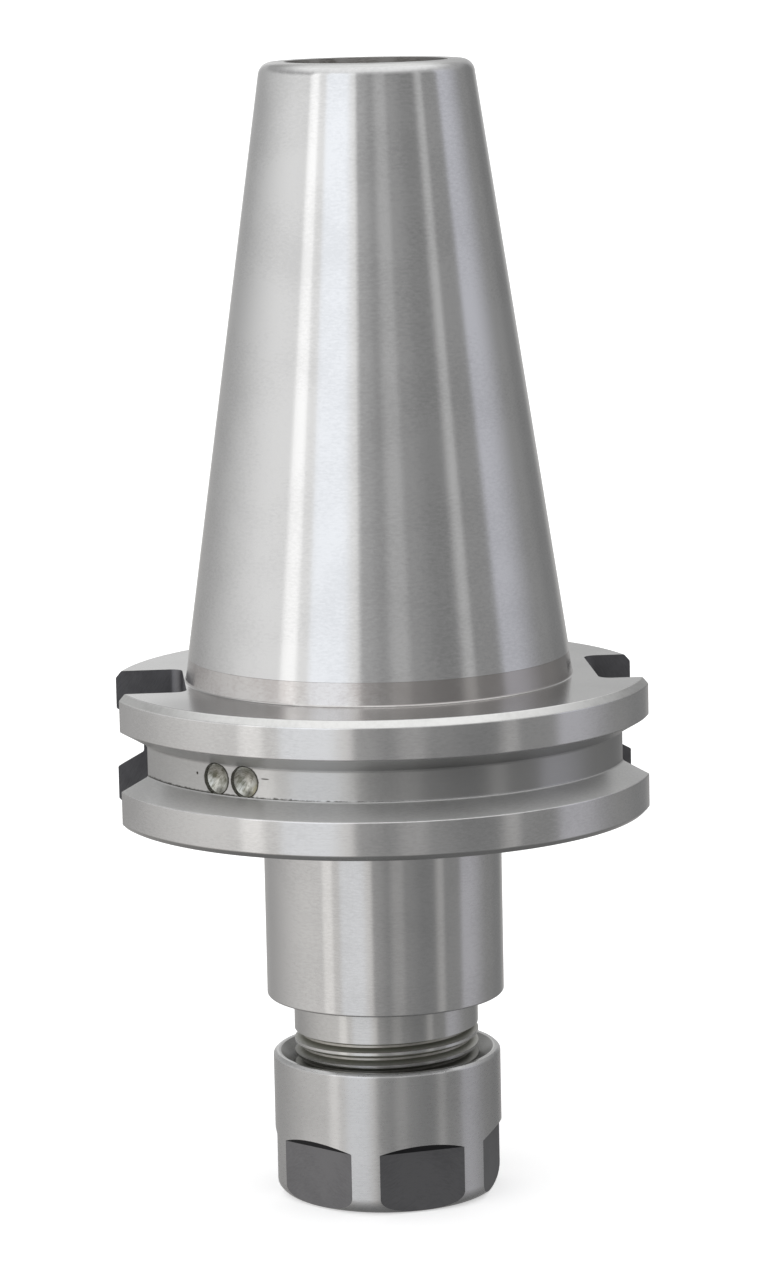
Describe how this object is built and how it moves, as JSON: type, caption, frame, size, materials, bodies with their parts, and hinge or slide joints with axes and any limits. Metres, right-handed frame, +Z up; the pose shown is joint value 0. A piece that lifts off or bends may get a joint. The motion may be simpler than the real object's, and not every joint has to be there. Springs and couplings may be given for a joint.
{
  "type": "collet chuck holder",
  "caption": "Steep taper tool holder with a V-flange, a slit spring collet in its nose and a hexagonal clamping nut that screws on and off.",
  "frame": {"origin": "spindle axis at the front face of the clamping nut, which is the bottom of the part as it stands", "axes": "+Z up the spindle axis to the small end of the shank, -X through the deep drive slot, +X through the shallow one"},
  "size_m": [0.0614, 0.0634, 0.1332],
  "materials": {
    "ground_steel": "ground and polished alloy steel",
    "collet_steel": "ground spring steel",
    "nut_steel": "turned steel with dark milled flats"
  },
  "bodies": {
    "holder": {"holder_body": "ground_steel"},
    "collet": {"collet": "collet_steel"},
    "nut": {"clamping_nut": "nut_steel"}
  },
  "joints": [
    {"name": "collet_travel", "type": "slide", "parent": "holder", "child": "collet", "axis": [0, 0, -1], "range_m": [0, 0.009]},
    {"name": "nut_turn", "type": "hinge", "parent": "collet", "child": "nut", "pos_m": [0, 0, 0.0085], "axis": [0, 0, -1], "range_deg": [0, 2162.4]}
  ],
  "couplings": [
    {"joint": "nut_turn", "follows": "collet_travel", "rad_per_m": 4188.8}
  ]
}
